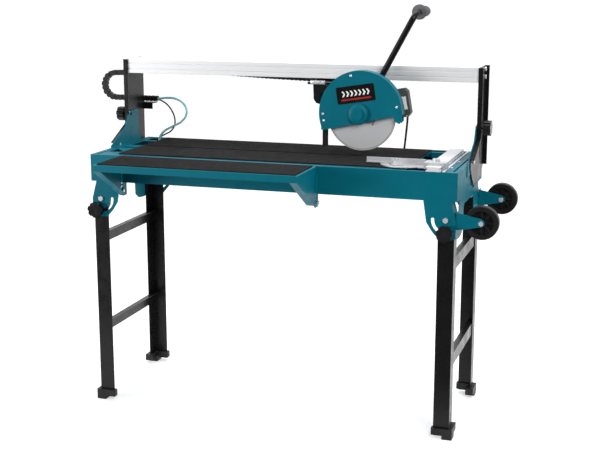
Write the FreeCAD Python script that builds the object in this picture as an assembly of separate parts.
import FreeCAD, Part
import math
import os

# Wet bridge tile saw on folding legs.  Millimetres, +Z up, +X to the right, +Y to the rear.
# The model is drawn about the tray (X = 0 at its middle, Y = 0 at its front wall, Z = 0 at the
# floor) and then moved so that the middle of its footprint is the origin.

V = FreeCAD.Vector
AXES = {"x": V(1, 0, 0), "y": V(0, 1, 0), "z": V(0, 0, 1)}

# ---- driving dimensions -------------------------------------------------------------------
TRAY_LENGTH = 1344.0          # along X
TRAY_DEPTH = 490.0            # along Y
TRAY_HEIGHT = 97.0
TABLE_TOP = 935.0             # top of the rubber mats above the floor
SHEET = 3.0                   # sheet metal
RIM_LIP = 16.0
RIGHT_LIP = 56.0              # wider lip beside the fence

BLADE_DIAMETER = 250.0
BLADE_Y = 245.0               # cutting line
BLADE_X = 278.0
BLADE_Z = 1080.0
BLADE_THICKNESS = 2.2
GUARD_RADIUS = 152.0
GUARD_Y = (222.0, 261.0)

PIVOT_X = 635.0               # leg pivots, left and right of the middle
PIVOT_Z = 771.0
LEG_OUTER = 665.0
LEG_WIDTH = 56.0
LEG_FLANGE = 50.0
LEG_BOTTOM = 8.0

WHEEL_DIAMETER = 114.0
WHEEL_WIDTH = 30.0
WHEEL_X = 753.0
WHEEL_Z = 767.0
WHEEL_FRONT_Y = 25.0
WHEEL_REAR_Y = 469.0

BRIDGE_TOP = 1251.0
RAIL_HEIGHT = 52.0
UPRIGHT_FRONT = 328.0
UPRIGHT_REAR = 470.0
UPRIGHT_BOTTOM = 892.0
WEB_X = (675.5, 678.5)        # upright web, inner and outer face
FLANGE_X = 692.0              # outer edge of the upright flanges

ARM_PIVOT = (115.0, 1137.0)   # plunge pivot, X and Z
TILT_PIVOT = (245.0, 935.0)   # tilt pivot, Y and Z
TILT_KNOB_RADIUS = 145.0      # from the tilt pivot to the lock stud
TILT_KNOB_ANGLE = 46.4
LEG_KNOB_RADIUS = 44.0        # from the leg pivot to the lock stud
LEG_KNOB_DEG = {"right": 270.0, "left": 293.0}   # where the stud sits, drawn as a right leg

SIDE_TABLE_X = (-552.0, 186.0)
SIDE_TABLE_Y = (-213.0, -3.0)
SIDE_PIVOT = (9.0, 803.0)     # Y and Z

CORD_RADIUS = 4.0
HOSE_RADIUS = 4.5
PUMP_CABLE_RADIUS = 3.0
PIN_FIT = 0.06                # radial play of a pin in its hole

RIM_TOP = TABLE_TOP - 3.0
TRAY_BOTTOM = RIM_TOP - TRAY_HEIGHT
RAIL_BOTTOM = BRIDGE_TOP - RAIL_HEIGHT
HALF = TRAY_LENGTH / 2.0

RULE_SCREW_X = 634.0
RULE_SCREW_Y = (94.0, 225.0)

shapes = {}


# ---- helpers ------------------------------------------------------------------------------
def box(x0, x1, y0, y1, z0, z1):
    return Part.makeBox(x1 - x0, y1 - y0, z1 - z0, V(x0, y0, z0))


def rod(axis, start, radius, length):
    return Part.makeCylinder(radius, length, V(*start), AXES[axis])


def tube(axis, start, outer, inner, length):
    return rod(axis, start, outer, length).cut(rod(axis, start, inner, length))


def plate_yz(points, x0, x1):
    corners = [V(x0, y, z) for y, z in points]
    face = Part.Face(Part.makePolygon(corners + corners[:1]))
    return face.extrude(V(x1 - x0, 0, 0))


def plate_xz(points, y0, y1):
    corners = [V(x, y0, z) for x, z in points]
    face = Part.Face(Part.makePolygon(corners + corners[:1]))
    return face.extrude(V(0, y1 - y0, 0))


def plate_xy(points, z0, z1):
    corners = [V(x, y, z0) for x, y in points]
    face = Part.Face(Part.makePolygon(corners + corners[:1]))
    return face.extrude(V(0, 0, z1 - z0))


def fuse(parts):
    return parts[0].multiFuse(parts[1:]).removeSplitter()


def group(parts):
    return Part.makeCompound(parts)


def mirror_x(shape):
    return shape.mirror(V(0, 0, 0), V(1, 0, 0))


def mirror_y(shape):
    return shape.mirror(V(0, TRAY_DEPTH / 2.0, 0), V(0, 1, 0))


def arc_slot(axis, centre, radius, half_width, start_deg, end_deg, low, high):
    """Curved slot cutter with round ends, across the given axis from low to high."""
    def at(r, deg):
        a = math.radians(deg)
        u = centre[0] + r * math.cos(a)
        w = centre[1] + r * math.sin(a)
        return {"x": V(low, u, w), "y": V(u, low, w), "z": V(u, w, low)}[axis]
    middle = (start_deg + end_deg) / 2.0
    inner, outer = radius - half_width, radius + half_width
    bulge = math.degrees(half_width / radius)
    edges = [
        Part.Arc(at(outer, start_deg), at(outer, middle), at(outer, end_deg)).toShape(),
        Part.Arc(at(outer, end_deg), at(radius, end_deg + bulge), at(inner, end_deg)).toShape(),
        Part.Arc(at(inner, end_deg), at(inner, middle), at(inner, start_deg)).toShape(),
        Part.Arc(at(inner, start_deg), at(radius, start_deg - bulge), at(outer, start_deg)).toShape(),
    ]
    face = Part.Face(Part.Wire(edges))
    return face.extrude(AXES[axis] * (high - low))


def turned(axis, origin, profile):
    """Solid of revolution: profile is a list of (distance along the axis, radius)."""
    start = V(*origin)
    along = AXES[axis]
    side = AXES["z"] if axis != "z" else AXES["x"]
    points = [start + along * d + side * r for d, r in profile]
    face = Part.Face(Part.makePolygon(points + points[:1]))
    return face.revolve(start, along, 360)


def hex_head(axis, start, across, length):
    """Hexagonal bolt head or nut."""
    origin = V(*start)
    along = AXES[axis]
    first = AXES["z"] if axis != "z" else AXES["x"]
    second = along.cross(first)
    radius = across / math.sqrt(3.0)
    corners = []
    for step in range(6):
        a = math.radians(60 * step)
        corners.append(origin + first * (radius * math.cos(a)) + second * (radius * math.sin(a)))
    face = Part.Face(Part.makePolygon(corners + corners[:1]))
    return face.extrude(along * length)


def star_knob(axis, start, radius, thickness, lobes, stud_radius, stud_length):
    """Lobed clamping knob; the stud runs from start along the axis, the grip goes the other way."""
    along = AXES[axis]
    origin = V(*start)
    first = AXES["z"] if axis != "z" else AXES["x"]
    second = along.cross(first)
    grip = Part.makeCylinder(radius, thickness, origin - along * thickness, along)
    for step in range(lobes):
        a = 2 * math.pi * step / lobes
        at = origin + first * (radius * 1.12 * math.cos(a)) + second * (radius * 1.12 * math.sin(a))
        grip = grip.cut(Part.makeCylinder(radius * 0.24, thickness, at - along * thickness, along))
    stud = Part.makeCylinder(stud_radius, stud_length, origin, along)
    return fuse([grip, stud])


def path_wire(points, radii_name, diameter, loosest=5.0):
    """Straight runs joined by tangent arcs; prints the smallest arc radius."""
    pts = [V(*p) for p in points]
    edges = []
    start = pts[0]
    smallest = None
    for i in range(1, len(pts) - 1):
        before, here, after = pts[i - 1], pts[i], pts[i + 1]
        u = (before - here).normalize()
        w = (after - here).normalize()
        turn = math.pi - math.acos(max(-1.0, min(1.0, u.dot(w))))
        cut = 0.45 * min(before.distanceToPoint(here), after.distanceToPoint(here))
        radius = cut / math.tan(turn / 2.0)
        smallest = radius if smallest is None else min(smallest, radius)
        first, last = here + u * cut, here + w * cut
        to_centre = (u + w).normalize()
        centre = here + to_centre * math.hypot(cut, radius)
        middle = centre - to_centre * radius
        edges.append(Part.LineSegment(start, first).toShape())
        edges.append(Part.Arc(first, middle, last).toShape())
        start = last
    edges.append(Part.LineSegment(start, pts[-1]).toShape())
    wire = Part.Wire(edges)
    print(radii_name, "length", round(wire.Length, 1), "smallest radius", round(smallest, 1),
          "wanted", loosest * diameter)
    return wire


def cord_tube(points, radius, name):
    wire = path_wire(points, name, 2 * radius)
    direction = V(*points[1]) - V(*points[0])
    circle = Part.Wire(Part.makeCircle(radius, V(*points[0]), direction))
    solid = wire.makePipeShell([circle], True, False)
    ratio = solid.Volume / (math.pi * radius ** 2 * wire.Length)
    print(name, "volume over section times length", round(ratio, 4))
    return solid


# ---- tray, table and what is fixed to them --------------------------------------------------
def tray_shell():
    shell = box(-HALF, HALF, 0, TRAY_DEPTH, TRAY_BOTTOM, RIM_TOP)
    shell = shell.cut(box(-HALF + SHEET, HALF - SHEET, SHEET, TRAY_DEPTH - SHEET,
                          TRAY_BOTTOM + SHEET, RIM_TOP - SHEET))
    shell = shell.cut(box(-HALF + RIM_LIP, HALF - RIGHT_LIP, RIM_LIP, TRAY_DEPTH - RIM_LIP,
                          RIM_TOP - 2 * SHEET, RIM_TOP + 1))
    shell = shell.cut(box(HALF - 22.0, HALF - 16.0, 24.0, 466.0, RIM_TOP - 2 * SHEET, RIM_TOP + 1))
    for y in RULE_SCREW_Y:
        shell = shell.cut(rod("z", (RULE_SCREW_X, y, RIM_TOP - 5.0), 2.5, 6.0))
    lugs = []
    for x0 in (SIDE_TABLE_X[0] + 3.5, SIDE_TABLE_X[1] - 6.5):
        lug = box(x0, x0 + SHEET, 0.0, 30.0, 786.0, TRAY_BOTTOM)
        lugs.append(lug.cut(rod("x", (x0 - 1, SIDE_PIVOT[0], SIDE_PIVOT[1]), 5.0, SHEET + 2)))
    return fuse([shell] + lugs)


def basin_liner():
    outer = box(-650, 650, 20, 470, TRAY_BOTTOM + SHEET, 912)
    inner = box(-647, 647, 23, 467, TRAY_BOTTOM + 2 * SHEET, 913)
    return outer.cut(inner)


SLOT_Y = (240.0, 256.0)       # blade slot in the table
PANEL_X = (-578.0, 485.0)
MAT_FRONT = 41.0


def table_panels():
    panels = []
    for y0, y1 in ((18.0, SLOT_Y[0]), (SLOT_Y[1], 472.0)):
        panels.append(box(PANEL_X[0], PANEL_X[1], y0, y1, 926.0, 930.0))
    bay = box(-654.0, PANEL_X[0] - 0.5, 18.0, 472.0, 926.0, 930.0)
    holes = [[(-645, 84), (-588, 106), (-645, 168)],
             [(-645, 184), (-588, 206), (-588, 222), (-645, 226)],
             [(-645, 276), (-592, 276), (-592, 392), (-645, 392)],
             [(-645, 406), (-592, 406), (-592, 466), (-645, 466)]]
    for hole in holes:
        bay = bay.cut(plate_xy(hole, 925.0, 931.0))
    return group(panels + [bay])


def table_mats():
    mats = []
    for y0, y1 in ((MAT_FRONT, SLOT_Y[0]), (SLOT_Y[1], 472.0)):
        mats.append(box(PANEL_X[0], PANEL_X[1], y0, y1, 930.0, TABLE_TOP))
    return group(mats)


def support_rails():
    """Three inverted channels under the panels; the rear one stops short of the pump's bay."""
    rails = []
    for x0, y0 in ((-653.0, 214.0), (-653.0, 284.0), (-588.0, 440.0)):
        rail = box(x0, 653.0, y0, y0 + 12.0, 912.0, 926.0)
        rails.append(rail.cut(box(x0 - 1.0, 654.0, y0 + 2.0, y0 + 10.0, 911.0, 924.0)))
    cross = box(495.0, 655.0, 426.0, 439.0, 912.0, RIM_TOP)
    rails.append(cross.cut(box(HALF - RIGHT_LIP - 1.0, 656.0, 425.0, 440.0, RIM_TOP - SHEET, RIM_TOP + 1.0)))
    return group(rails)


SKIRT_X = (666.5, 669.5)      # outer face of the side skirt is flush with the plates' edge


def corner_plate(knob_deg):
    """Front right hanger plate with its curved lock slot."""
    face = plate_xz([(558, TRAY_BOTTOM), (652, TRAY_BOTTOM), (SKIRT_X[1], PIVOT_Z), (SKIRT_X[1], 722),
                     (665, 709), (652, 703), (611, 706), (588, 732), (569, 762)], 0.0, SHEET)
    face = face.cut(rod("y", (PIVOT_X, -1.0, PIVOT_Z), 6.0, SHEET + 2))
    slot = arc_slot("y", (PIVOT_X, PIVOT_Z), LEG_KNOB_RADIUS, 5.5, 178.0, knob_deg + 2.0, -1.0, SHEET + 1)
    return face.cut(slot)


def end_skirt():
    """Band under the tray's right end with a round lobe behind each hanger plate."""
    outline = [(0, TRAY_BOTTOM), (0, 716), (20, 704), (66, 700), (110, 704), (136, 722), (140, 790),
               (156, 803), (TRAY_DEPTH / 2, 803), (TRAY_DEPTH / 2, TRAY_BOTTOM)]
    half = plate_yz(outline, SKIRT_X[0], SKIRT_X[1])
    skirt = half.fuse(mirror_y(half))
    outer = plate_xz([(652, TRAY_BOTTOM + 1), (SKIRT_X[1], PIVOT_Z), (700, PIVOT_Z), (700, TRAY_BOTTOM + 1)],
                     -1.0, 58.0)
    skirt = skirt.cut(outer).cut(mirror_y(outer))
    slant = plate_xz([(649, TRAY_BOTTOM), (652, TRAY_BOTTOM), (SKIRT_X[1], PIVOT_Z), (SKIRT_X[0], PIVOT_Z)],
                     0.0, 58.0)
    return fuse([skirt, slant, mirror_y(slant)])


def corner_plates():
    """One pressing at each end: two hanger plates joined by the side skirt."""
    ends = []
    for side, turn in (("right", lambda shape: shape), ("left", mirror_x)):
        plate = corner_plate(LEG_KNOB_DEG[side])
        ends.append(turn(fuse([plate, mirror_y(plate), end_skirt()])))
    return group(ends)


def leg_pivot_bolt(side):
    head = hex_head("y", (side * PIVOT_X, -6.0, PIVOT_Z), 17.0, 6.0)
    shank = rod("y", (side * PIVOT_X, 0.0, PIVOT_Z), 6.0, 7.0)
    nut = hex_head("y", (side * PIVOT_X, 7.0, PIVOT_Z), 17.0, 8.0)
    return fuse([head, shank, nut])


def tilt_pivot_bolt(side):
    shank = rod("x", (672.0, TILT_PIVOT[0], TILT_PIVOT[1]), 6.0, 7.0)
    head = hex_head("x", (679.0, TILT_PIVOT[0], TILT_PIVOT[1]), 17.0, 6.0)
    bolt = fuse([shank, head])
    return bolt if side > 0 else mirror_x(bolt)


def side_table_bolt(x, direction):
    start = x if direction > 0 else x - 9.0
    shank = rod("x", (start, SIDE_PIVOT[0], SIDE_PIVOT[1]), 5.0, 9.0)
    head_x = x + 9.0 if direction > 0 else x - 14.0
    head = hex_head("x", (head_x, SIDE_PIVOT[0], SIDE_PIVOT[1]), 13.0, 5.0)
    return fuse([shank, head])


def frame_bolts():
    bolts = []
    for side in (-1, 1):
        front = leg_pivot_bolt(side)
        bolts += [front, mirror_y(front), tilt_pivot_bolt(side)]
    for y in RULE_SCREW_Y:
        head = rod("z", (RULE_SCREW_X, y, RIM_TOP), 5.0, 3.0)
        bolts.append(fuse([head, rod("z", (RULE_SCREW_X, y, RIM_TOP - 6.0), 2.5, 6.0)]))
    bolts.append(side_table_bolt(SIDE_TABLE_X[0] + 6.5, -1))
    bolts.append(side_table_bolt(SIDE_TABLE_X[1] - 6.5, 1))
    return group(bolts)


def tilt_stud_place():
    a = math.radians(TILT_KNOB_ANGLE)
    return (TILT_PIVOT[0] + TILT_KNOB_RADIUS * math.cos(a),
            TILT_PIVOT[1] + TILT_KNOB_RADIUS * math.sin(a))


def tilt_brackets():
    outline = [(168, 890), (168, 938), (290, 996), (303, 1014), (312, 1034), (346, 1054),
               (400, 1054), (407, 1048), (407, 960), (425, 936), (425, 890)]
    plate = plate_yz(outline, 672.0, 675.0)
    y, z = tilt_stud_place()
    plate = plate.cut(rod("x", (671.0, y, z), 5.6, 5.0))
    plate = plate.cut(rod("x", (671.0, TILT_PIVOT[0], TILT_PIVOT[1]), 6.0, 5.0))
    return group([mirror_x(plate), plate])


def scale_rule():
    return box(618.0, 626.0, 6.0, 484.0, RIM_TOP, RIM_TOP + 3.0)


def water_pump():
    body = box(-640.0, -588.0, 418.0, 464.0, TRAY_BOTTOM + 2 * SHEET, 892.0)
    grille = [box(-641.0, -638.0, 424.0 + 8 * i, 428.0 + 8 * i, 846.0, 872.0) for i in range(5)]
    for groove in grille:
        body = body.cut(groove)
    neck = rod("z", (-612.0, 453.0, 892.0), 4.0, 12.0)
    collar = rod("z", (-629.0, 449.0, 892.0), 4.5, 8.0)
    return fuse([body, neck, collar])


def wheel_bracket(wheel_y):
    face_y = wheel_y - WHEEL_WIDTH / 2.0 - 8.0
    root = SKIRT_X[1]
    face = plate_xz([(root, 800), (root, 740), (700, 744), (744, 753), (757, 755), (765, 763),
                     (764, 774), (754, 782)], face_y, face_y + 4.0)
    fold = box(root, root + SHEET, face_y, face_y + 40.0, 742.0, 798.0)
    bracket = fuse([face, fold])
    return bracket.cut(rod("y", (WHEEL_X, face_y - 1, WHEEL_Z), 6.0, 6.0))


def wheel_brackets():
    return group([wheel_bracket(WHEEL_FRONT_Y), wheel_bracket(WHEEL_REAR_Y)])


def wheel_axle(wheel_y):
    face_y = wheel_y - WHEEL_WIDTH / 2.0 - 8.0
    head = hex_head("y", (WHEEL_X, face_y - 6.0, WHEEL_Z), 15.0, 6.0)
    length = wheel_y + WHEEL_WIDTH / 2.0 + 1.0 - face_y
    shank = rod("y", (WHEEL_X, face_y, WHEEL_Z), 6.0, length)
    nut = hex_head("y", (WHEEL_X, face_y + length, WHEEL_Z), 15.0, 6.0)
    return fuse([head, shank, nut])


def wheel_axles():
    return group([wheel_axle(WHEEL_FRONT_Y), wheel_axle(WHEEL_REAR_Y)])


FENCE_X = (563.0, 613.0)
FENCE_TOP = RIM_TOP + 16.0


def fence_rail():
    """Wide flat extrusion with a groove along each side."""
    rail = box(FENCE_X[0], FENCE_X[1], 2.0, 438.0, RIM_TOP, FENCE_TOP)
    for x in FENCE_X:
        rail = rail.cut(box(x - 5.0, x + 5.0, 1.0, 439.0, RIM_TOP + 4.0, FENCE_TOP - 4.0))
    return rail


# ---- wheels ---------------------------------------------------------------------------------
def wheel(wheel_y):
    """Solid plastic wheel: tyre ring, eight spokes and a hub."""
    y0 = wheel_y - WHEEL_WIDTH / 2.0
    radius = WHEEL_DIAMETER / 2.0
    origin = (WHEEL_X, y0, WHEEL_Z)
    rim = turned("y", origin, [(0, 40), (0, radius - 3), (3, radius), (WHEEL_WIDTH - 3, radius),
                               (WHEEL_WIDTH, radius - 3), (WHEEL_WIDTH, 40)])
    hub = rod("y", origin, 15.0, WHEEL_WIDTH)
    parts = [rim, hub]
    for step in range(8):
        spoke = box(WHEEL_X + 12, WHEEL_X + 42, y0 + 6, y0 + WHEEL_WIDTH - 6,
                    WHEEL_Z - 3.5, WHEEL_Z + 3.5)
        spoke.rotate(V(WHEEL_X, 0, WHEEL_Z), AXES["y"], 45 * step)
        parts.append(spoke)
    web = turned("y", (WHEEL_X, wheel_y - 2, WHEEL_Z), [(0, 12), (0, 41), (4, 41), (4, 12)])
    whole = fuse(parts + [web])
    return whole.cut(rod("y", (WHEEL_X, y0 - 1, WHEEL_Z), 6.0 + PIN_FIT, WHEEL_WIDTH + 2))


# ---- folding legs ---------------------------------------------------------------------------
def knob_place(side):
    """X and Z of a lock stud, drawn as a right leg."""
    a = math.radians(LEG_KNOB_DEG[side])
    return PIVOT_X + LEG_KNOB_RADIUS * math.cos(a), PIVOT_Z + LEG_KNOB_RADIUS * math.sin(a)


def leg(side):
    """Front leg, drawn on the right: an L angle with a rounded top round the pivot."""
    x, z = knob_place(side)
    front = box(LEG_OUTER - LEG_WIDTH, LEG_OUTER, 3.5, 6.5, LEG_BOTTOM, PIVOT_Z)
    cap = rod("y", (PIVOT_X, 3.5, PIVOT_Z), 27.0, SHEET)
    cap = cap.common(box(LEG_OUTER - LEG_WIDTH, LEG_OUTER, 3.0, 7.0, PIVOT_Z - 1, PIVOT_Z + 40))
    flange = box(LEG_OUTER - SHEET, LEG_OUTER, 3.5, 3.5 + LEG_FLANGE, LEG_BOTTOM, PIVOT_Z - 14.0)
    angle = fuse([front, cap, flange])
    angle = angle.cut(rod("y", (PIVOT_X, 0, PIVOT_Z), 6.0 + PIN_FIT, 10.0))
    return angle.cut(rod("y", (x, 0, z), 4.6, 10.0))


CROSSBAR_TOPS = (636.0, 292.0)


def crossbars():
    """The two crossbars of the right leg frame."""
    bars = []
    for top in CROSSBAR_TOPS:
        face = box(LEG_OUTER - 5.5, LEG_OUTER - SHEET, 6.5, TRAY_DEPTH - 6.5, top - 44.0, top)
        flange = box(LEG_OUTER - 25.0, LEG_OUTER - SHEET, 6.5, TRAY_DEPTH - 6.5, top - 2.5, top)
        bars.append(fuse([face, flange]))
    return group(bars)


def foot():
    """Front right foot: plastic cap on the leg's L section, with a raised wing each way."""
    out = LEG_OUTER + 12.0
    pad = box(out - 36.0, out, -8.0, 36.0, 0.0, 24.0)
    wing_x = box(out - 74.0, out, -8.0, 16.0, 14.0, 38.0)
    wing_y = box(out - 26.0, out, -8.0, 72.0, 14.0, 38.0)
    block = fuse([pad, wing_x, wing_y])
    block = block.makeFillet(3.0, [e for e in block.Edges if abs(e.tangentAt(e.FirstParameter).z) > 0.99])
    pocket_x = box(LEG_OUTER - LEG_WIDTH, LEG_OUTER, 3.5, 6.5, LEG_BOTTOM, 60.0)
    pocket_y = box(LEG_OUTER - SHEET, LEG_OUTER, 3.5, 3.5 + LEG_FLANGE, LEG_BOTTOM, 60.0)
    return block.cut(pocket_x).cut(pocket_y)


def leg_knob(side):
    """Front lock knob, drawn on the right, its stud through the curved slot into the leg."""
    x, z = knob_place(side)
    return star_knob("y", (x, -3.0, z), 28.5, 20.0, 7, 4.5, 11.0)


# ---- side table -----------------------------------------------------------------------------
def side_table():
    x0, x1 = SIDE_TABLE_X
    y0, y1 = SIDE_TABLE_Y
    top = box(x0, x1, y0, y1, 928.0, 931.0)
    front_lip = box(x0, x1, y0, y0 + SHEET, 908.0, 931.0)
    wing = [(y0, 931.0), (y1, 931.0), (y1, 829.0), (22.0, 829.0), (22.0, 800.0), (16.0, 791.0),
            (4.0, 788.0), (-14.0, 790.0), (-26.0, 798.0), (y0, 908.0)]
    wings = []
    for a in (x0, x1 - SHEET):
        plate = plate_yz(wing, a, a + SHEET)
        plate = plate.cut(rod("x", (a - 1, SIDE_PIVOT[0], SIDE_PIVOT[1]), 5.0 + PIN_FIT, SHEET + 2))
        slot = arc_slot("x", SIDE_PIVOT, 20.0, 3.0, 100.0, 150.0, a - 1, a + SHEET + 1)
        wings.append(plate.cut(slot))
    flange = [(y0, 908.0), (-26.0, 798.0), (-24.2, 801.0), (y0 + 1.8, 911.0)]
    folds = [plate_yz(flange, x0 + SHEET, x0 + 28.0), plate_yz(flange, x1 - 28.0, x1 - SHEET)]
    rear_lip = box(x0, x1, y1 - SHEET, y1, 905.0, 931.0)
    return fuse([top, front_lip, rear_lip] + wings + folds)


def side_table_mat():
    x0, x1 = SIDE_TABLE_X
    return box(x0 + 10.0, x1 - 10.0, SIDE_TABLE_Y[0] + 10.0, SIDE_TABLE_Y[1] - 8.0, 931.0, 935.0)


# ---- tilting bridge ---------------------------------------------------------------------------
def upright():
    """Right upright: folded channel, open outwards, with a foot that reaches the tilt pivot."""
    front, rear = UPRIGHT_FRONT, UPRIGHT_REAR
    outline = [(front, BRIDGE_TOP), (rear, BRIDGE_TOP), (rear, UPRIGHT_BOTTOM), (430, 862),
               (310, 838), (284, 838), (206, 912), (204, 944), (front, 1002)]
    parts = [plate_yz(outline, WEB_X[0], WEB_X[1])]
    parts.append(box(WEB_X[0], FLANGE_X, front, front + SHEET, 1002.0, BRIDGE_TOP))
    parts.append(box(WEB_X[0], FLANGE_X, rear - SHEET, rear, UPRIGHT_BOTTOM, BRIDGE_TOP))
    parts.append(plate_yz([(front, 1002), (204, 944), (204, 947.3), (front, 1005.3)],
                          WEB_X[0], FLANGE_X))
    channel = fuse(parts)
    channel = channel.cut(rod("x", (674.0, TILT_PIVOT[0], TILT_PIVOT[1]), 6.0 + PIN_FIT, 6.0))
    slot = arc_slot("x", TILT_PIVOT, TILT_KNOB_RADIUS, 5.6, -2.0, TILT_KNOB_ANGLE + 3.0, 674.0, 680.0)
    return channel.cut(slot)


def upright_left():
    shelf = box(-700.0, -632.0, UPRIGHT_REAR, 506.0, 1069.0, 1072.0)
    fold = box(-700.0, -640.0, UPRIGHT_REAR, UPRIGHT_REAR + SHEET, 1046.0, 1072.0)
    return fuse([mirror_x(upright()), shelf, fold])


def bridge_rail():
    """Extruded aluminium box with a slot underneath for the carriage and grooves in its front."""
    length = WEB_X[0]
    y0, y1 = UPRIGHT_FRONT + 6.0, UPRIGHT_REAR - 8.0
    rail = box(-length, length, y0, y1, RAIL_BOTTOM, BRIDGE_TOP)
    rail = rail.cut(box(-length - 1, length + 1, y0 + 4, y1 - 4, RAIL_BOTTOM + 4, BRIDGE_TOP - 4))
    rail = rail.cut(box(-length - 1, length + 1, 364.0, 386.0, RAIL_BOTTOM - 1, RAIL_BOTTOM + 6))
    for z in (RAIL_BOTTOM + 14.0, RAIL_BOTTOM + 34.0):
        rail = rail.cut(box(-length - 1, length + 1, y0 - 1, y0 + 1.5, z, z + 4.0))
    return rail


CHAIN_Y = (476.0, 504.0)
CHAIN_HEIGHT = 28.0
CHAIN_LOOP = (-805.0, 1135.0, 49.0)     # centre X, centre Z, mean radius


def chain_line():
    """Mean line of the cable chain: lower run, loop and the slack upper run."""
    x, z, r = CHAIN_LOOP
    points = [(-624.0, z - r), (x, z - r)]
    steps = 14
    for i in range(1, steps + 1):
        a = math.pi * i / steps
        points.append((x - r * math.sin(a), z - r * math.cos(a)))
    points += [(-748.0, 1187.0), (-690.0, 1195.0), (-620.0, 1199.0), (-362.0, 1197.5), (-150.0, 1188.0),
               (28.0, 1182.5), (108.0, 1182.0)]
    return points


def drag_chain():
    line = chain_line()
    left, right = [], []
    for i, (x, z) in enumerate(line):
        before = line[max(i - 1, 0)]
        after = line[min(i + 1, len(line) - 1)]
        dx, dz = after[0] - before[0], after[1] - before[1]
        size = math.hypot(dx, dz)
        nx, nz = -dz / size * CHAIN_HEIGHT / 2, dx / size * CHAIN_HEIGHT / 2
        left.append((x + nx, z + nz))
        right.append((x - nx, z - nz))
    return plate_xz(left + right[::-1], CHAIN_Y[0], CHAIN_Y[1])


def bridge_bolts():
    """Bolts that hold the rail between the uprights, and the chain's anchor bolt."""
    bolts = []
    for side in (-1, 1):
        for y in (350.0, 446.0):
            for z in (RAIL_BOTTOM + 12.0, BRIDGE_TOP - 12.0):
                bolt = hex_head("x", (678.5, y, z), 13.0, 6.0)
                bolts.append(bolt if side > 0 else mirror_x(bolt))
    bolts.append(hex_head("z", (-676.0, 490.0, 1062.0), 10.0, 7.0))
    return group(bolts)


TILT_KNOB_X = 698.0


def tilt_knob():
    """Right tilt lock: grip outside the channel, stud through it into the bracket."""
    y, z = tilt_stud_place()
    knob = star_knob("x", (TILT_KNOB_X, y, z), 27.0, 26.0, 7, 5.0, TILT_KNOB_X - 668.0)
    knob.rotate(V(TILT_KNOB_X, y, z), AXES["z"], 180)
    return knob


# ---- carriage ---------------------------------------------------------------------------------
ROLLER_X = (95.0, 245.0)
ROLLER_Z = RAIL_BOTTOM + 4.0 + 13.0 + 0.3


def carriage():
    base = box(70.0, 270.0, 264.0, 440.0, 1183.0, 1191.0)
    neck = box(70.0, 270.0, 368.0, 382.0, 1191.0, 1228.0)
    for x in ROLLER_X:
        neck = neck.cut(rod("y", (x, 367.0, ROLLER_Z), 4.0 + PIN_FIT, 16.0))
    lugs = []
    for y0 in (264.0, 304.0):
        lug = plate_xz([(91, 1183), (141, 1183), (137, 1130), (128, 1117), (115, 1113),
                        (102, 1117), (93, 1130)], y0, y0 + 8.0)
        lugs.append(lug.cut(rod("y", (ARM_PIVOT[0], y0 - 1, ARM_PIVOT[1]), 6.0, 10.0)))
    return fuse([base, neck] + lugs)


def arm_pivot_pin():
    x, z = ARM_PIVOT
    head = hex_head("y", (x, 257.0, z), 19.0, 7.0)
    shank = rod("y", (x, 264.0, z), 6.0, 48.0)
    nut = hex_head("y", (x, 312.0, z), 19.0, 8.0)
    return fuse([head, shank, nut])


def roller_set(x):
    """One axle with a ball-bearing roller each side of the carriage neck."""
    axle = rod("y", (x, 348.0, ROLLER_Z), 4.0, 54.0)
    front = rod("y", (x, 350.0, ROLLER_Z), 13.0, 12.0)
    rear = rod("y", (x, 388.0, ROLLER_Z), 13.0, 12.0)
    return fuse([axle, front, rear])


# ---- plunging head ------------------------------------------------------------------------------
MOTOR_RADIUS = 52.0


def pivot_arm():
    outline = [(97, 1122), (97, 1150), (112, 1168), (150, 1176), (276, 1178), (300, 1204),
               (332, 1204), (356, 1180), (386, 1146), (397, 1130), (397, 1084), (330, 1056), (230, 1070),
               (150, 1108), (115, 1117)]
    plate = plate_xz(outline, 280.0, 292.0)
    barrel = rod("y", (ARM_PIVOT[0], 273.0, ARM_PIVOT[1]), 20.0, 30.0)
    arm = fuse([plate, barrel])
    arm = arm.cut(rod("y", (ARM_PIVOT[0], 270.0, ARM_PIVOT[1]), 6.0 + PIN_FIT, 40.0))
    return arm.cut(rod("y", (BLADE_X, 270.0, BLADE_Z), 30.0, 30.0))


def motor_housing():
    nose = turned("y", (BLADE_X, GUARD_Y[1], BLADE_Z), [(0, 0), (0, 26), (6, 30), (31, 30), (31, 0)])
    body = turned("y", (BLADE_X, 292.0, BLADE_Z), [
        (0, 0), (0, 46), (8, MOTOR_RADIUS), (108, MOTOR_RADIUS), (126, 44), (132, 30), (132, 0)])
    motor = fuse([nose, body])
    for step in range(12):
        fin = box(BLADE_X - 2, BLADE_X + 2, 322.0, 386.0, BLADE_Z + 48.0, BLADE_Z + 53.0)
        fin.rotate(V(BLADE_X, 0, BLADE_Z), AXES["y"], 30 * step)
        motor = motor.cut(fin)
    return motor.cut(rod("y", (BLADE_X, 260.0, BLADE_Z), 10.0 + PIN_FIT, 24.0))


GUARD_CENTRE = (278.0, 1088.0)
FLAP_X = (139.0, 142.0)


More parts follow.
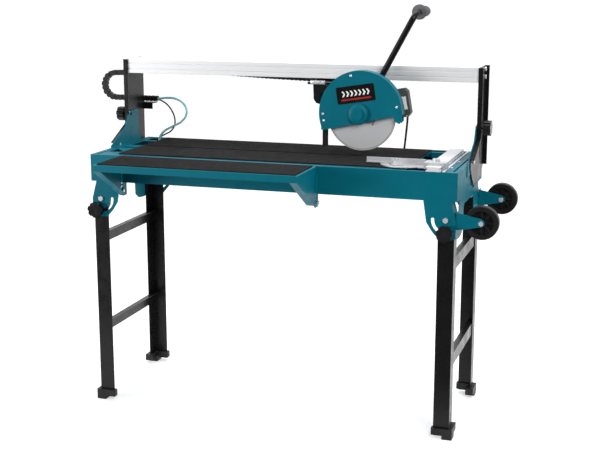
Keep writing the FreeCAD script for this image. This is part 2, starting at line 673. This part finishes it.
def blade_guard():
    cx, cz = GUARD_CENTRE
    y0, y1 = GUARD_Y
    wall = 2.5
    shell = rod("y", (cx, y0, cz), GUARD_RADIUS, y1 - y0)
    shell = shell.cut(rod("y", (cx, y0 + wall, cz), GUARD_RADIUS - wall, y1 - y0 - 2 * wall))
    below = plate_xz([(60, 1007), (480, 1101), (480, 900), (60, 900)], y0 - 1, y1 + 1)
    shell = shell.cut(below)
    shell = shell.cut(rod("y", (BLADE_X, y1 - wall - 1, BLADE_Z), 24.0, wall + 2))
    tab = plate_xz([(398, 1084), (402, 1066), (420, 1057), (428, 1066), (428, 1094)], y0, y0 + wall)
    cheek = plate_xz([(398, 1084), (402, 1066), (420, 1057), (428, 1066), (428, 1094)],
                     y1 - wall, y1)
    clamp = box(134.0, FLAP_X[0], y0 + 2.0, y1, 1026.0, 1046.0)
    flap_gap = box(FLAP_X[0], FLAP_X[1], y0 + 2.0, y1 + 1, 1000.0, 1044.0)
    return fuse([shell.cut(flap_gap), tab, cheek, clamp])


def guard_hub_cap():
    profile = [(0, 0), (0, 20)]
    for i in range(7):
        a = math.pi / 2 * i / 6
        profile.append((12.0 - 9.0 * math.cos(a), 20.0 + 17.0 * math.sin(a)))
    profile += [(17.0, 37.0), (17.0, 0)]
    return turned("y", (272.0, 205.0, 1086.0), profile)


def splash_flap():
    return box(FLAP_X[0], FLAP_X[1], 224.0, 288.0, 962.0, 1044.0)


BOX_CENTRE = (421.0, 1133.0)
BOX_TILT = -10.0
BOX_REAR = 326.0


def tilted(shape):
    """Turn a piece about the switch box's centre to the head's resting slant."""
    shape.rotate(V(BOX_CENTRE[0], 0, BOX_CENTRE[1]), AXES["y"], BOX_TILT)
    return shape


def switch_box():
    """Slim case with its two outer corners cut off and a pocket for the button."""
    outline = [(386, 1074), (425, 1074), (437, 1086), (437, 1164), (427, 1176), (386, 1176)]
    case = plate_xz(outline, 292.5, BOX_REAR)
    case = case.cut(box(403.0, 429.0, 292.0, 306.0, 1100.0, 1148.0))
    return tilted(case)


def switch_button():
    button = box(404.0, 428.0, 288.5, 300.0, 1101.0, 1147.0)
    return tilted(button)


GLAND_START = (408.0, BOX_REAR, 1090.0)
GLAND_LENGTH = 30.0


def cable_gland():
    return turned("y", GLAND_START, [(0, 0), (0, 10), (6, 10), (8, 7.5), (GLAND_LENGTH, 5.5),
                                     (GLAND_LENGTH, 0)])


HANDLE_RADIUS = 11.0
GRIP_X = 455.0
GRIP_Z = 1440.0
GRIP_Y = (352.0, 472.0)
HANDLE_Y = 304.0


def handle_tube():
    start = V(306.0, HANDLE_Y, 1164.0)
    corner = V(GRIP_X, HANDLE_Y, GRIP_Z)
    end = V(GRIP_X, GRIP_Y[0], GRIP_Z)
    bend = 34.0
    first = corner + (start - corner).normalize() * bend
    last = corner + (end - corner).normalize() * bend
    inward = ((start - corner).normalize() + (end - corner).normalize()).normalize()
    centre = corner + inward * bend * math.sqrt(2.0)
    middle = centre - inward * bend
    wire = Part.Wire([Part.LineSegment(start, first).toShape(),
                      Part.Arc(first, middle, last).toShape(),
                      Part.LineSegment(last, end).toShape()])
    circle = Part.Wire(Part.makeCircle(HANDLE_RADIUS, start, first - start))
    bar = wire.makePipeShell([circle], True, False)
    strap = box(300.0, 326.0, 292.0, HANDLE_Y - 8.0, 1166.0, 1192.0)
    return bar.fuse(strap).removeSplitter()


def handle_grip():
    y0, y1 = GRIP_Y
    length = y1 - y0
    return turned("y", (GRIP_X, y0, GRIP_Z), [
        (0, 0), (0, 27), (6, 27), (8, 18), (30, 19), (60, 17.5), (90, 19), (length - 6, 18),
        (length, 14), (length, 0)])


# ---- blade ---------------------------------------------------------------------------------------
def blade():
    """Disc with a continuous diamond rim, a little thicker than its core."""
    half = BLADE_THICKNESS / 2.0
    radius = BLADE_DIAMETER / 2.0
    core = tube("y", (BLADE_X, BLADE_Y - half, BLADE_Z), radius - 6.0, 10.0, BLADE_THICKNESS)
    rim = tube("y", (BLADE_X, BLADE_Y - half - 0.3, BLADE_Z), radius, radius - 7.0, BLADE_THICKNESS + 0.6)
    return fuse([core, rim])


def arbor():
    """Spindle with its two clamping flanges and nut."""
    half = BLADE_THICKNESS / 2.0
    front = BLADE_Y - half
    rear = BLADE_Y + half
    shaft = rod("y", (BLADE_X, 226.5, BLADE_Z), 10.0, 56.0)
    outer = rod("y", (BLADE_X, front - 6.0, BLADE_Z), 26.0, 6.0)
    inner = rod("y", (BLADE_X, rear, BLADE_Z), 22.0, 7.0)
    nut = hex_head("y", (BLADE_X, front - 15.0, BLADE_Z), 30.0, 9.0)
    return fuse([shaft, outer, inner, nut])


# ---- mitre gauge -----------------------------------------------------------------------------------
GAUGE_PIVOT = (468.0, 108.0)
GAUGE_Z = 935.3
GAUGE_KNOB = (448.0, 60.0)
ARM_X = (335.0, 540.0)


def gauge_base():
    """Half-round protractor plate joined to a carrier that saddles the fence rail."""
    cx, cy = GAUGE_PIVOT
    disc = rod("z", (cx, cy, GAUGE_Z), 82.0, 3.0)
    disc = disc.common(box(cx - 90, cx + 90, cy - 90, cy + 6, GAUGE_Z - 1, GAUGE_Z + 10))
    inner, outer = FENCE_X[0] - 0.5, FENCE_X[1] + 0.5
    low, high = FENCE_TOP + 0.4, FENCE_TOP + 10.0
    neck = box(cx + 60, inner, 40.0, 74.0, GAUGE_Z, GAUGE_Z + 3.0)
    saddle_top = box(inner - 12.0, outer + 12.0, 30.0, 82.0, low, high)
    cheek_left = box(inner - 12.0, inner, 30.0, 82.0, GAUGE_Z, low + 1.0)
    cheek_right = box(outer, outer + 12.0, 30.0, 82.0, GAUGE_Z, low + 1.0)
    boss = rod("z", (588.0, 56.0, high), 13.0, 10.0)
    base = fuse([disc, neck, saddle_top, cheek_left, cheek_right, boss])
    sweep = math.degrees(math.atan2(GAUGE_KNOB[1] - cy, GAUGE_KNOB[0] - cx))
    reach = math.hypot(GAUGE_KNOB[0] - cx, GAUGE_KNOB[1] - cy)
    slot = arc_slot("z", GAUGE_PIVOT, reach, 3.6, sweep - 46.0, sweep + 46.0, GAUGE_Z - 1, GAUGE_Z + 4)
    return base.cut(slot)


def gauge_arm():
    """Fence bar that swivels on the protractor, with a tab for the clamping screw."""
    cy = GAUGE_PIVOT[1]
    x, y = GAUGE_KNOB
    low, high = GAUGE_Z + 3.4, GAUGE_Z + 6.4
    bar = box(*ARM_X, cy - 4.0, cy + 4.0, low, 956.0)
    lip = box(*ARM_X, cy - 12.0, cy + 4.0, low, high)
    tab = box(x - 10.0, x + 10.0, y - 10.0, cy - 4.0, low, high)
    return fuse([bar, lip, tab]).cut(rod("z", (x, y, low - 1), 3.0 + PIN_FIT, 6.0))


def gauge_knob():
    """Wing screw that clamps the arm to the protractor."""
    x, y = GAUGE_KNOB
    stem = rod("z", (x, y, GAUGE_Z), 3.0, 20.0)
    collar = rod("z", (x, y, GAUGE_Z + 6.6), 8.0, 8.0)
    wing = box(x - 15.0, x + 15.0, y - 2.0, y + 2.0, GAUGE_Z + 13.0, GAUGE_Z + 28.0)
    wing = wing.cut(rod("y", (x - 15.0, y - 3, GAUGE_Z + 11.0), 7.0, 6.0))
    wing = wing.cut(rod("y", (x + 15.0, y - 3, GAUGE_Z + 11.0), 7.0, 6.0))
    return fuse([stem, collar, wing])


# ---- cords -----------------------------------------------------------------------------------------
MAINS_POINTS = [(408.0, 356.0, 1090.0), (406.5, 390.0, 1088.0), (402.0, 432.0, 1075.0),
                (394.0, 470.0, 1046.0), (384.0, 501.0, 1004.0), (375.0, 521.0, 956.0),
                (369.0, 529.0, 914.0), (366.6, 530.0, 882.0), (366.5, 530.0, 856.0)]
COIL_CENTRE = (318.5, 538.0, 832.0)
COIL_INNER = 36.0
COIL_OUTER = 52.0
COIL_WIDTH = 24.0
PLUG_TOP = (371.5, 538.0, 806.0)

HOSE_POINTS = [(-624.0, 490.0, 1085.0), (-590.0, 490.0, 1091.0), (-548.0, 489.0, 1090.0),
               (-508.0, 486.0, 1070.0), (-494.0, 481.0, 1032.0), (-515.0, 475.0, 999.0),
               (-554.0, 468.0, 980.0), (-590.0, 461.0, 962.0), (-609.0, 455.0, 932.0),
               (-612.0, 453.0, 905.0)]
PUMP_CABLE_POINTS = [(-624.0, 499.0, 1081.0), (-602.0, 498.0, 1074.0), (-575.0, 495.0, 1052.0),
                     (-555.0, 491.0, 1020.0), (-550.0, 487.0, 986.0), (-566.0, 482.0, 958.0),
                     (-594.0, 473.0, 945.0), (-617.0, 460.0, 930.0), (-629.0, 449.0, 902.0)]


def mains_coil():
    x, y, z = COIL_CENTRE
    return tube("y", (x, y - COIL_WIDTH / 2.0, z), COIL_OUTER, COIL_INNER, COIL_WIDTH)


def mains_plug():
    x, y, z = PLUG_TOP
    profile = [(0, 0), (0, 5), (-14, 7.5), (-18, 17), (-34, 18.5), (-52, 18.5), (-55, 16), (-55, 0)]
    body = turned("z", (x, y, z), profile)
    pins = [rod("z", (x + dx, y, z - 74.0), 2.4, 19.0) for dx in (-9.5, 9.5)]
    return fuse([body] + pins)


def mains_cord():
    """The hanging stretch, and the short tail from the coil to the plug."""
    hanging = cord_tube(MAINS_POINTS, CORD_RADIUS, "mains_cord")
    lower = V(*PLUG_TOP)
    upper = V(COIL_CENTRE[0] + COIL_OUTER - CORD_RADIUS, COIL_CENTRE[1], COIL_CENTRE[2])
    tail = Part.makeCylinder(CORD_RADIUS, upper.distanceToPoint(lower), lower, upper - lower)
    return group([hanging, tail])


# ---- build everything --------------------------------------------------------------------------------
def build_frame():
    shapes["tray_shell"] = tray_shell()
    shapes["basin_liner"] = basin_liner()
    shapes["table_panels"] = table_panels()
    shapes["table_mats"] = table_mats()
    shapes["support_rails"] = support_rails()
    shapes["corner_plates"] = corner_plates()
    shapes["frame_bolts"] = frame_bolts()
    shapes["tilt_brackets"] = tilt_brackets()
    shapes["scale_rule"] = scale_rule()
    shapes["water_pump"] = water_pump()
    shapes["wheel_brackets"] = wheel_brackets()
    shapes["wheel_axles"] = wheel_axles()
    shapes["fence_rail"] = fence_rail()


def build_moving_supports():
    shapes["wheel_front"] = wheel(WHEEL_FRONT_Y)
    shapes["wheel_rear"] = wheel(WHEEL_REAR_Y)
    sides = {"right": lambda s: s, "left": mirror_x}
    ends = {"front": lambda s: s, "rear": mirror_y}
    for side, across in sides.items():
        for end, along in ends.items():
            shapes["leg_%s_%s" % (end, side)] = across(along(leg(side)))
            shapes["leg_knob_%s_%s" % (end, side)] = across(along(leg_knob(side)))
        shapes["crossbars_" + side] = across(crossbars())
        shapes["feet_" + side] = group([across(along(foot())) for along in ends.values()])
        shapes["tilt_knob_" + side] = across(tilt_knob())
    shapes["side_table"] = side_table()
    shapes["side_table_mat"] = side_table_mat()
    shapes["gauge_base"] = gauge_base()
    shapes["gauge_arm"] = gauge_arm()
    shapes["gauge_knob"] = gauge_knob()


def build_bridge():
    shapes["upright_left"] = upright_left()
    shapes["upright_right"] = upright()
    shapes["bridge_rail"] = bridge_rail()
    shapes["drag_chain"] = drag_chain()
    shapes["bridge_bolts"] = bridge_bolts()
    shapes["carriage"] = carriage()
    shapes["arm_pivot_pin"] = arm_pivot_pin()
    shapes["roller_set_left"] = roller_set(ROLLER_X[0])
    shapes["roller_set_right"] = roller_set(ROLLER_X[1])


def build_head():
    shapes["pivot_arm"] = pivot_arm()
    shapes["motor_housing"] = motor_housing()
    shapes["blade_guard"] = blade_guard()
    shapes["guard_hub_cap"] = guard_hub_cap()
    shapes["splash_flap"] = splash_flap()
    shapes["switch_box"] = switch_box()
    shapes["switch_button"] = switch_button()
    shapes["cable_gland"] = cable_gland()
    shapes["handle_tube"] = handle_tube()
    shapes["handle_grip"] = handle_grip()
    shapes["blade"] = blade()
    shapes["arbor"] = arbor()


def build_cords():
    shapes["mains_cord"] = mains_cord()
    shapes["mains_coil"] = mains_coil()
    shapes["mains_plug"] = mains_plug()
    shapes["water_hose"] = cord_tube(HOSE_POINTS, HOSE_RADIUS, "water_hose")
    shapes["pump_cable"] = cord_tube(PUMP_CABLE_POINTS, PUMP_CABLE_RADIUS, "pump_cable")


CORD_NODES = ("mains_cord", "mains_coil", "mains_plug", "water_hose", "pump_cable")


def footprint_middle():
    """Middle of the object's footprint, its free cords left out."""
    low = [1e9, 1e9]
    high = [-1e9, -1e9]
    for name, shape in shapes.items():
        if name in CORD_NODES:
            continue
        bounds = shape.optimalBoundingBox(False)
        low = [min(low[0], bounds.XMin), min(low[1], bounds.YMin)]
        high = [max(high[0], bounds.XMax), max(high[1], bounds.YMax)]
    return (low[0] + high[0]) / 2.0, (low[1] + high[1]) / 2.0


build_frame()
build_moving_supports()
build_bridge()
build_head()
build_cords()

MIDDLE = footprint_middle()
os.makedirs("parts", exist_ok=True)
for name, shape in shapes.items():
    shape.translate(V(-MIDDLE[0], -MIDDLE[1], 0))
    if not shape.isValid():
        print("not valid:", name)
    shape.exportStep("parts/%s.step" % name)
print(len(shapes), "nodes, origin at", MIDDLE)
